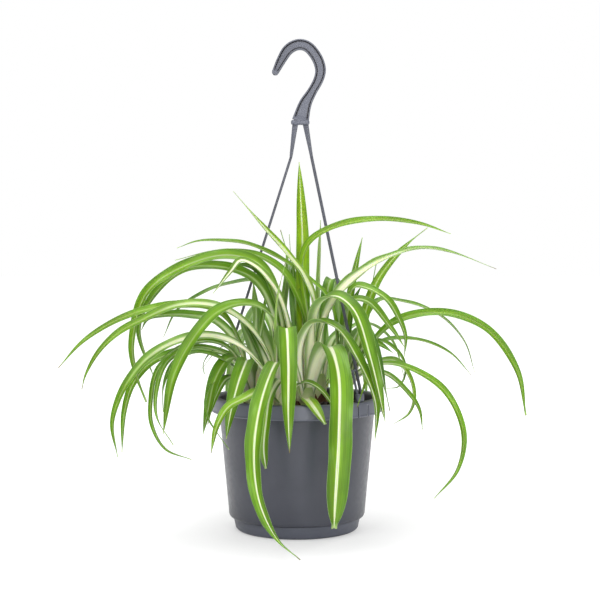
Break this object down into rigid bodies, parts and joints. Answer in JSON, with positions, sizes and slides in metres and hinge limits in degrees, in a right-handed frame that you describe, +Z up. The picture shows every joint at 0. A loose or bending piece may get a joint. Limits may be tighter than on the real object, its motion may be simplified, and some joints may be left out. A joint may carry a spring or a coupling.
{
  "type": "potted spider plant",
  "caption": "Spider plant of arching, striped leaves in a round plastic hanging pot, with its drip tray and a hooked hanger, standing upright on a floor.",
  "frame": {"origin": "centre of the drip tray's underside, on the floor", "axes": "+Z up; -Y towards the viewer of the picture; +X to the picture's right"},
  "size_m": [0.4111, 0.329, 0.4429],
  "materials": {
    "tray_plastic": "slate grey, satin",
    "pot_plastic": "slate grey, satin, fine moulded grain",
    "hanger_plastic": "slate grey, satin",
    "soil": "dark, crumbly potting soil",
    "leaf": "green with a cream middle stripe, soft sheen"
  },
  "bodies": {
    "root": {"drip_tray": "tray_plastic", "pot": "pot_plastic", "soil": "soil", "hanger": "hanger_plastic", "rosette_front_right": "leaf", "rosette_front_left": "leaf", "rosette_left": "leaf", "rosette_right": "leaf", "rosette_back_left": "leaf", "rosette_back_right": "leaf"}
  },
  "joints": []
}
